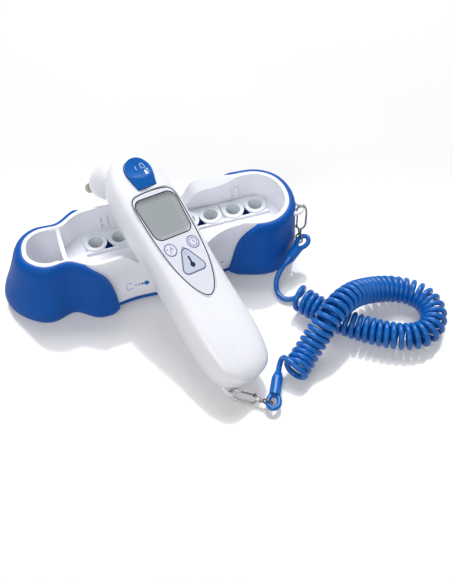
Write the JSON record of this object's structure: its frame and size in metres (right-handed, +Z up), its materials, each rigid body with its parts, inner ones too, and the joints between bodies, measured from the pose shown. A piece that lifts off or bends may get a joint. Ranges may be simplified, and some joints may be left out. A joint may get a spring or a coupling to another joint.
{
  "type": "ear thermometer with storage base",
  "caption": "Digital ear thermometer leaning on its storage base with probe cover cassettes, joined by a coiled tether with snap hooks.",
  "frame": {"origin": "middle of the footprint of the base and the handset, on the table", "axes": "+X along the base to its right end, +Y to its back, +Z up"},
  "size_m": [0.2707, 0.1899, 0.0882],
  "materials": {
    "white_plastic": "satin",
    "blue_satin": "satin",
    "blue_gloss": "gloss",
    "blue_cord": "gloss",
    "steel_wire": "polished",
    "steel": "bright",
    "clear_film": "translucent",
    "foot_rubber": "matte",
    "lens": "clear",
    "lcd": "matte",
    "board": "satin",
    "dark_parts": "matte",
    "battery": "satin",
    "key_rubber": "matte",
    "overlay_film": "satin",
    "scan_key": "satin",
    "probe_metal": "turned"
  },
  "bodies": {
    "base": {"base_bottom_cover": "blue_satin", "base_cord_loop": "blue_cord", "base_cord_sleeve": "blue_cord", "base_eyelet": "white_plastic", "base_feet": "foot_rubber", "base_hook_frame": "steel_wire", "base_inner_shelf": "blue_satin", "base_lead": "blue_cord", "base_screws": "steel", "base_tray": "white_plastic", "cassette_latches": "white_plastic", "coil_cord": "blue_cord", "handset_lead": "blue_cord", "left_end_cap": "blue_satin", "right_end_cap": "blue_satin"},
    "handset": {"battery_cells": "battery", "battery_contacts": "steel", "board_parts": "dark_parts", "buzzer": "dark_parts", "circuit_board": "board", "eject_guide": "white_plastic", "eject_spring": "steel", "handset_cord_loop": "blue_cord", "handset_cord_sleeve": "blue_cord", "handset_eyelet": "white_plastic", "handset_front_shell": "white_plastic", "handset_hook_frame": "steel_wire", "handset_rear_shell": "white_plastic", "handset_screws": "steel", "keypad_overlay": "overlay_film", "keypad_rubber": "key_rubber", "lcd_module": "lcd", "lcd_window": "lens", "probe_nozzle": "white_plastic", "probe_tip": "probe_metal", "sensor_holder": "white_plastic", "sensor_module": "probe_metal", "sensor_window": "lens"},
    "base_hook_gate_body": {"base_hook_gate": "steel_wire"},
    "base_swivel_body": {"base_swivel": "steel_wire"},
    "handset_hook_gate_body": {"handset_hook_gate": "steel_wire"},
    "handset_swivel_body": {"handset_swivel": "steel_wire"},
    "scan_button_body": {"scan_button": "scan_key"},
    "unit_button_body": {"unit_button": "overlay_film"},
    "timer_button_body": {"timer_button": "overlay_film"},
    "eject_button_body": {"eject_button": "blue_gloss"},
    "ejector_sleeve_body": {"ejector_sleeve": "white_plastic"},
    "battery_door_body": {"battery_door": "white_plastic"},
    "cassette_1_body": {"cassette_1": "white_plastic"},
    "cassette_2_body": {"cassette_2": "white_plastic"},
    "cassette_3_body": {"cassette_3": "white_plastic"},
    "cassette_4_body": {"cassette_4": "white_plastic"},
    "probe_cover_1_body": {"probe_cover_1": "clear_film"},
    "probe_cover_2_body": {"probe_cover_2": "clear_film"},
    "probe_cover_3_body": {"probe_cover_3": "clear_film"},
    "probe_cover_4_body": {"probe_cover_4": "clear_film"},
    "probe_cover_5_body": {"probe_cover_5": "clear_film"},
    "probe_cover_6_body": {"probe_cover_6": "clear_film"},
    "probe_cover_7_body": {"probe_cover_7": "clear_film"},
    "probe_cover_8_body": {"probe_cover_8": "clear_film"}
  },
  "joints": [
    {"name": "handset_lift", "type": "slide", "parent": "base", "child": "handset", "axis": [0, 0, 1], "range_m": [0, 0.12], "deforming": ["coil_cord", "handset_lead"]},
    {"name": "scan_press", "type": "slide", "parent": "handset", "child": "scan_button_body", "axis": [-0.3339, 0.3035, -0.8924], "range_m": [0, 0.0004], "stiffness_N_per_m": 600},
    {"name": "unit_press", "type": "slide", "parent": "handset", "child": "unit_button_body", "axis": [-0.3339, 0.3035, -0.8924], "range_m": [0, 0.0004], "stiffness_N_per_m": 600},
    {"name": "timer_press", "type": "slide", "parent": "handset", "child": "timer_button_body", "axis": [-0.3339, 0.3035, -0.8924], "range_m": [0, 0.0004], "stiffness_N_per_m": 600},
    {"name": "eject_press", "type": "slide", "parent": "handset", "child": "eject_button_body", "axis": [-0.3339, 0.3035, -0.8924], "range_m": [0, 0.0022], "stiffness_N_per_m": 400, "deforming": ["eject_spring"]},
    {"name": "ejector_slide", "type": "slide", "parent": "handset", "child": "ejector_sleeve_body", "axis": [-0.398, 0.6081, -0.6869], "range_m": [0, 0.0036]},
    {"name": "battery_door_slide", "type": "slide", "parent": "handset", "child": "battery_door_body", "axis": [0.2384, -0.8888, -0.3914], "range_m": [0, 0.008]},
    {"name": "handset_hook_gate_swing", "type": "hinge", "parent": "handset", "child": "handset_hook_gate_body", "pos_m": [0.02944, -0.08956, 0.00651], "axis": [-0.5433, -0.6251, 0.5605], "range_deg": [0, 18], "stiffness_Nm_per_rad": 0.002},
    {"name": "handset_swivel_turn", "type": "hinge", "parent": "handset", "child": "handset_swivel_body", "pos_m": [0.03065, -0.09219, 0.00475], "axis": [0.79, -0.6065, 0.0893], "range_deg": [-8, 8]},
    {"name": "base_hook_gate_swing", "type": "hinge", "parent": "base", "child": "base_hook_gate_body", "pos_m": [0.09536, 0.01536, 0.02771], "axis": [0.3392, 0.8526, -0.3975], "range_deg": [0, 18], "stiffness_Nm_per_rad": 0.002},
    {"name": "base_swivel_turn", "type": "hinge", "parent": "base", "child": "base_swivel_body", "pos_m": [0.09718, 0.01359, 0.02546], "axis": [-0.167, -0.3612, -0.9174], "range_deg": [-8, 8]},
    {"name": "cassette_1_lift", "type": "slide", "parent": "base", "child": "cassette_1_body", "axis": [0, 0, 1], "range_m": [0, 0.012]},
    {"name": "cassette_2_lift", "type": "slide", "parent": "base", "child": "cassette_2_body", "axis": [0, 0, 1], "range_m": [0, 0.012]},
    {"name": "cassette_3_lift", "type": "slide", "parent": "base", "child": "cassette_3_body", "axis": [0, 0, 1], "range_m": [0, 0.012]},
    {"name": "cassette_4_lift", "type": "slide", "parent": "base", "child": "cassette_4_body", "axis": [0, 0, 1], "range_m": [0, 0.012]},
    {"name": "probe_cover_1_lift", "type": "slide", "parent": "cassette_1_body", "child": "probe_cover_1_body", "axis": [0, 0, 1], "range_m": [0, 0.018]},
    {"name": "probe_cover_2_lift", "type": "slide", "parent": "cassette_1_body", "child": "probe_cover_2_body", "axis": [0, 0, 1], "range_m": [0, 0.011]},
    {"name": "probe_cover_3_lift", "type": "slide", "parent": "cassette_2_body", "child": "probe_cover_3_body", "axis": [0, 0, 1], "range_m": [0, 0.011]},
    {"name": "probe_cover_4_lift", "type": "slide", "parent": "cassette_2_body", "child": "probe_cover_4_body", "axis": [0, 0, 1], "range_m": [0, 0.011]},
    {"name": "probe_cover_5_lift", "type": "slide", "parent": "cassette_3_body", "child": "probe_cover_5_body", "axis": [0, 0, 1], "range_m": [0, 0.011]},
    {"name": "probe_cover_6_lift", "type": "slide", "parent": "cassette_3_body", "child": "probe_cover_6_body", "axis": [0, 0, 1], "range_m": [0, 0.018]},
    {"name": "probe_cover_7_lift", "type": "slide", "parent": "cassette_4_body", "child": "probe_cover_7_body", "axis": [0, 0, 1], "range_m": [0, 0.018]},
    {"name": "probe_cover_8_lift", "type": "slide", "parent": "cassette_4_body", "child": "probe_cover_8_body", "axis": [0, 0, 1], "range_m": [0, 0.018]}
  ],
  "couplings": [
    {"joint": "ejector_slide", "follows": "eject_press", "ratio": 1.6}
  ]
}
